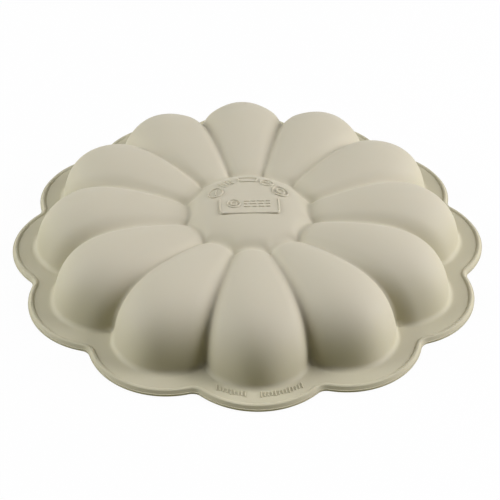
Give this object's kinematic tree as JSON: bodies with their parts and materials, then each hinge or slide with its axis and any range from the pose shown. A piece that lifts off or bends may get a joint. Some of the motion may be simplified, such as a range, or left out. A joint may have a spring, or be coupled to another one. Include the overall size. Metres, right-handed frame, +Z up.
{
  "type": "cake mould",
  "caption": "Flower-shaped silicone cake mould: petal cups round a shallow dome with a flat pad, in a scalloped flange edged by a raised bead.",
  "frame": {"origin": "centre of the rim's resting plane, on the flower's axis", "axes": "+Z up along the flower's axis towards the dome, with the cavity facing down; -Y along the axis of petal_cup_01, the front petal"},
  "size_m": [0.27, 0.27, 0.035],
  "materials": {
    "silicone": "matte greige silicone with a soft sheen"
  },
  "bodies": {
    "root": {"centre_dome": "silicone", "petal_cup_01": "silicone", "petal_cup_02": "silicone", "petal_cup_03": "silicone", "petal_cup_04": "silicone", "petal_cup_05": "silicone", "petal_cup_06": "silicone", "petal_cup_07": "silicone", "petal_cup_08": "silicone", "petal_cup_09": "silicone", "petal_cup_10": "silicone", "petal_cup_11": "silicone", "petal_cup_12": "silicone", "rim_lobe_01": "silicone", "rim_lobe_02": "silicone", "rim_lobe_03": "silicone", "rim_lobe_04": "silicone", "rim_lobe_05": "silicone", "rim_lobe_06": "silicone", "rim_lobe_07": "silicone", "rim_lobe_08": "silicone", "rim_lobe_09": "silicone", "rim_lobe_10": "silicone", "rim_lobe_11": "silicone", "rim_lobe_12": "silicone"}
  },
  "joints": []
}
